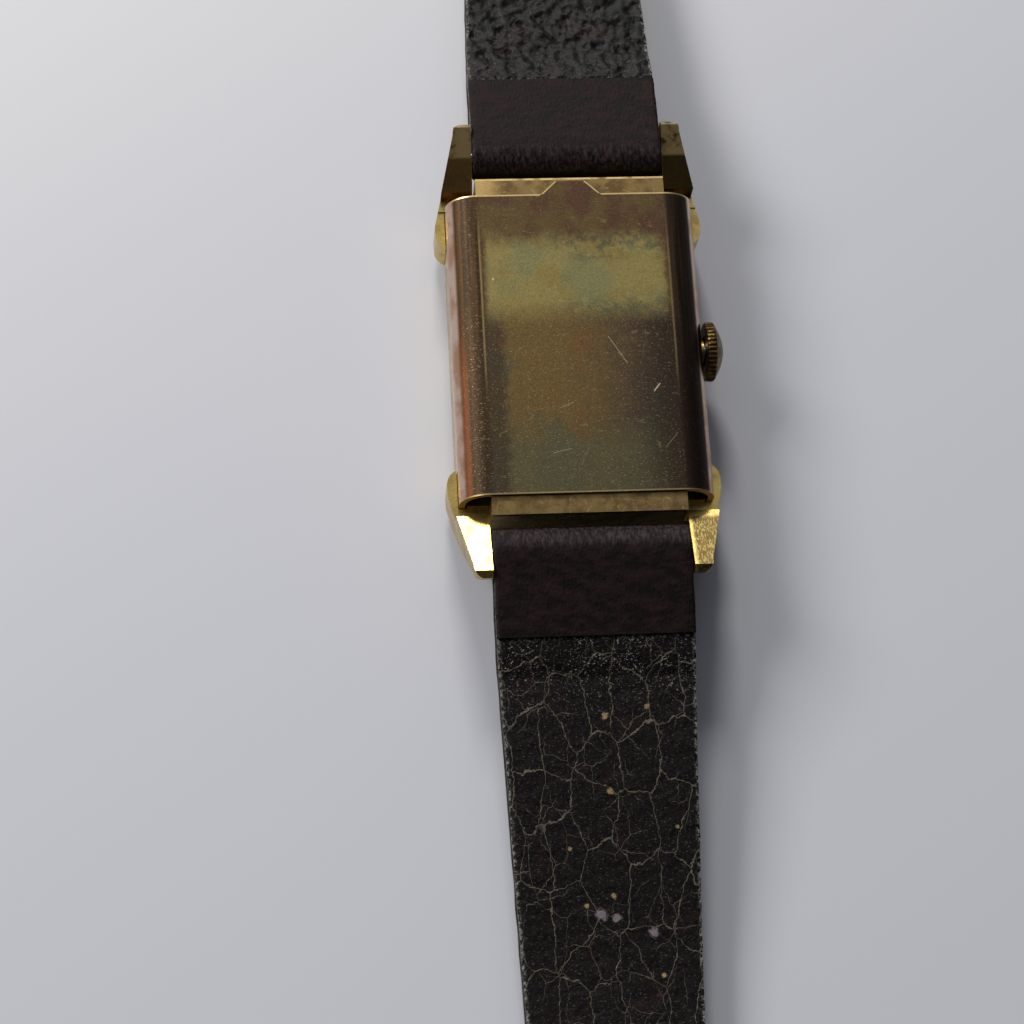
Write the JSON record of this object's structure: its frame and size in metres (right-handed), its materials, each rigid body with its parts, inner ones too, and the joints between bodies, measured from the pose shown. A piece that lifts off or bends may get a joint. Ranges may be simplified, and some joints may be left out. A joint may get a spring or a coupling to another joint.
{
  "type": "rectangular wristwatch",
  "caption": "Rectangular wristwatch on a two-piece leather strap, with a buckle, pull-out crown, lift-off back and hand-wound movement.",
  "frame": {"origin": "centre of the crystal's flat outer face, on the plane that the watch lies on face down", "axes": "+Z from the crystal to the case back, +X across the case to the crown, +Y along the strap from 12 o'clock to 6 o'clock"},
  "size_m": [0.0233, 0.2347, 0.0081],
  "materials": {
    "case_gold": "polished",
    "back_metal": "worn satin",
    "crown_gold": "polished",
    "crystal": "polished",
    "dial_face": "matt",
    "markers_and_hands": "polished",
    "movement_plate": "satin",
    "wheel_brass": "satin",
    "steel": "satin",
    "blued_steel": "polished",
    "jewel": "gloss",
    "gasket": "matt",
    "strap_leather": "smooth, worn",
    "strap_lining": "cracked"
  },
  "bodies": {
    "case": {"bezel": "case_gold", "crystal": "crystal", "case_tube": "case_gold", "dial": "dial_face", "hour_markers": "markers_and_hands", "main_plate": "movement_plate", "movement_ring": "movement_plate", "barrel_bridge": "movement_plate", "train_bridge": "movement_plate", "balance_cock": "movement_plate", "pallet_bridge": "movement_plate", "movement_screws": "steel", "jewels": "jewel", "click_spring": "steel", "hairspring": "blued_steel", "short_spring_bar": "steel", "long_spring_bar": "steel", "spring_bar_coils": "steel"},
    "back": {"case_back": "back_metal"},
    "crown_slider": {"crown_gasket": "gasket"},
    "crown_and_stem": {"crown": "crown_gold", "winding_stem": "steel"},
    "clutch": {"clutch_wheel": "steel"},
    "winding_pinion": {"winding_pinion": "steel"},
    "crown_wheel": {"crown_wheel": "steel"},
    "ratchet": {"ratchet_wheel": "steel", "barrel_arbor": "steel"},
    "click": {"click": "steel"},
    "setting_lever": {"setting_lever": "steel"},
    "clutch_lever": {"clutch_lever": "steel"},
    "seconds": {"fourth_wheel": "wheel_brass", "seconds_hand": "blued_steel"},
    "third_wheel": {"third_wheel": "wheel_brass"},
    "minutes": {"centre_wheel": "wheel_brass", "cannon_pinion": "steel", "minute_hand": "markers_and_hands"},
    "hours": {"hour_wheel": "wheel_brass", "hour_hand": "markers_and_hands"},
    "minute_wheel": {"minute_wheel": "wheel_brass"},
    "setting_wheel": {"setting_wheel": "steel"},
    "escape_wheel": {"escape_wheel": "steel"},
    "barrel": {"barrel_drum": "wheel_brass", "barrel_cover": "wheel_brass", "mainspring": "steel"},
    "balance": {"balance_wheel": "wheel_brass"},
    "pallet_fork": {"pallet_fork": "steel"},
    "regulator": {"regulator": "steel"},
    "short_pin_left": {"short_bar_pin_left": "steel"},
    "short_pin_right": {"short_bar_pin_right": "steel"},
    "long_pin_left": {"long_bar_pin_left": "steel"},
    "long_pin_right": {"long_bar_pin_right": "steel"},
    "short_strap": {"short_strap_leather": "strap_leather", "short_strap_lining": "strap_lining", "fixed_keeper": "strap_leather", "buckle_bar": "case_gold"},
    "long_strap": {"long_strap_leather": "strap_leather", "long_strap_lining": "strap_lining"},
    "free_keeper": {"free_keeper": "strap_leather"},
    "buckle": {"buckle_frame": "case_gold"},
    "tongue": {"buckle_tongue": "case_gold"}
  },
  "joints": [
    {"name": "back_lift", "type": "slide", "parent": "case", "child": "back", "axis": [0, 0, 1], "range_m": [0, 0.012]},
    {"name": "crown_pull", "type": "slide", "parent": "case", "child": "crown_slider", "axis": [1, 0, 0], "range_m": [0, 0.0008]},
    {"name": "crown_turn", "type": "hinge", "parent": "crown_slider", "child": "crown_and_stem", "pos_m": [0.0106, 0, 0.0048], "axis": [1, 0, 0], "continuous": true},
    {"name": "clutch_slide", "type": "slide", "parent": "crown_and_stem", "child": "clutch", "axis": [1, 0, 0], "range_m": [-0.00105, 0]},
    {"name": "winding_pinion_turn", "type": "hinge", "parent": "case", "child": "winding_pinion", "pos_m": [0.0064, 0, 0.0048], "axis": [1, 0, 0], "continuous": true},
    {"name": "crown_wheel_turn", "type": "hinge", "parent": "case", "child": "crown_wheel", "pos_m": [0.0049, -0.0032, 0.00725], "axis": [0, 0, 1], "continuous": true},
    {"name": "ratchet_turn", "type": "hinge", "parent": "case", "child": "ratchet", "pos_m": [-0.0021, -0.00443, 0.00725], "axis": [0, 0, 1], "continuous": true},
    {"name": "click_swing", "type": "hinge", "parent": "case", "child": "click", "pos_m": [-0.0069, -0.0076, 0.00725], "axis": [0, 0, 1], "range_deg": [-8, 12]},
    {"name": "setting_lever_swing", "type": "hinge", "parent": "case", "child": "setting_lever", "pos_m": [0.0076, 0.0026, 0.00395], "axis": [0, 0, 1], "range_deg": [0, 15]},
    {"name": "clutch_lever_swing", "type": "hinge", "parent": "case", "child": "clutch_lever", "pos_m": [0.0076, -0.0026, 0.00395], "axis": [0, 0, 1], "range_deg": [0, 8]},
    {"name": "seconds_turn", "type": "hinge", "parent": "case", "child": "seconds", "pos_m": [0, 0.00796, 0.005], "axis": [0, 0, 1], "continuous": true},
    {"name": "third_wheel_turn", "type": "hinge", "parent": "case", "child": "third_wheel", "pos_m": [0.0022, 0.00398, 0.00607], "axis": [0, 0, 1], "continuous": true},
    {"name": "minutes_turn", "type": "hinge", "parent": "case", "child": "minutes", "pos_m": [0, 0, 0.004], "axis": [0, 0, 1], "continuous": true},
    {"name": "hours_turn", "type": "hinge", "parent": "case", "child": "hours", "pos_m": [0, 0, 0.0037], "axis": [0, 0, 1], "continuous": true},
    {"name": "minute_wheel_turn", "type": "hinge", "parent": "case", "child": "minute_wheel", "pos_m": [0.0013, -0.00226, 0.0042], "axis": [0, 0, 1], "continuous": true},
    {"name": "setting_wheel_turn", "type": "hinge", "parent": "case", "child": "setting_wheel", "pos_m": [0.00335, -0.00021, 0.0042], "axis": [0, 0, 1], "continuous": true},
    {"name": "escape_wheel_turn", "type": "hinge", "parent": "case", "child": "escape_wheel", "pos_m": [-0.00275, 0.00916, 0.00607], "axis": [0, 0, 1], "continuous": true},
    {"name": "barrel_turn", "type": "hinge", "parent": "case", "child": "barrel", "pos_m": [-0.0021, -0.00443, 0.0058], "axis": [0, 0, 1], "continuous": true},
    {"name": "balance_swing", "type": "hinge", "parent": "case", "child": "balance", "pos_m": [-0.0048, 0.0042, 0.0066], "axis": [0, 0, 1], "range_deg": [-135, 135], "stiffness_Nm_per_rad": 0.0000002},
    {"name": "pallet_swing", "type": "hinge", "parent": "case", "child": "pallet_fork", "pos_m": [-0.00422, 0.00729, 0.00607], "axis": [0, 0, 1], "range_deg": [-5, 5]},
    {"name": "regulator_swing", "type": "hinge", "parent": "case", "child": "regulator", "pos_m": [-0.0048, 0.0042, 0.00745], "axis": [0, 0, 1], "range_deg": [-15, 15]},
    {"name": "short_pin_left_press", "type": "slide", "parent": "case", "child": "short_pin_left", "axis": [1, 0, 0], "range_m": [0, 0.0009], "stiffness_N_per_m": 300, "springref_m": -0.0005},
    {"name": "short_pin_right_press", "type": "slide", "parent": "case", "child": "short_pin_right", "axis": [-1, 0, 0], "range_m": [0, 0.0009], "stiffness_N_per_m": 300, "springref_m": -0.0005},
    {"name": "long_pin_left_press", "type": "slide", "parent": "case", "child": "long_pin_left", "axis": [1, 0, 0], "range_m": [0, 0.0009], "stiffness_N_per_m": 300, "springref_m": -0.0005},
    {"name": "long_pin_right_press", "type": "slide", "parent": "case", "child": "long_pin_right", "axis": [-1, 0, 0], "range_m": [0, 0.0009], "stiffness_N_per_m": 300, "springref_m": -0.0005},
    {"name": "short_strap_swing", "type": "hinge", "parent": "case", "child": "short_strap", "pos_m": [0, -0.0174, 0.0063], "axis": [-1, 0, 0], "range_deg": [-75, 95]},
    {"name": "long_strap_swing", "type": "hinge", "parent": "case", "child": "long_strap", "pos_m": [0, 0.0174, 0.0063], "axis": [1, 0, 0], "range_deg": [-75, 95]},
    {"name": "free_keeper_slide", "type": "slide", "parent": "short_strap", "child": "free_keeper", "axis": [0, 1, 0], "range_m": [-0.0025, 0.01]},
    {"name": "buckle_swing", "type": "hinge", "parent": "short_strap", "child": "buckle", "pos_m": [0, -0.0924, 0.00195], "axis": [-1, 0, 0], "range_deg": [-70, 65]},
    {"name": "tongue_swing", "type": "hinge", "parent": "buckle", "child": "tongue", "pos_m": [0, -0.0924, 0.00195], "axis": [-1, 0, 0], "range_deg": [0, 45]}
  ],
  "couplings": [
    {"joint": "clutch_slide", "follows": "crown_pull", "ratio": -1.3125},
    {"joint": "setting_lever_swing", "follows": "crown_pull", "rad_per_m": 327.25},
    {"joint": "clutch_lever_swing", "follows": "crown_pull", "rad_per_m": 174.53},
    {"joint": "winding_pinion_turn", "follows": "crown_turn", "ratio": 1},
    {"joint": "crown_wheel_turn", "follows": "crown_turn", "ratio": -0.46667},
    {"joint": "ratchet_turn", "follows": "crown_turn", "ratio": 0.36842},
    {"joint": "third_wheel_turn", "follows": "seconds_turn", "ratio": -0.13333},
    {"joint": "minutes_turn", "follows": "seconds_turn", "ratio": 0.016667},
    {"joint": "hours_turn", "follows": "seconds_turn", "ratio": 0.0013889},
    {"joint": "minute_wheel_turn", "follows": "seconds_turn", "ratio": -0.0055556},
    {"joint": "setting_wheel_turn", "follows": "seconds_turn", "ratio": 0.011905},
    {"joint": "escape_wheel_turn", "follows": "seconds_turn", "ratio": -10},
    {"joint": "barrel_turn", "follows": "seconds_turn", "ratio": -0.0020833},
    {"joint": "pallet_swing", "follows": "balance_swing", "ratio": -0.037037}
  ]
}
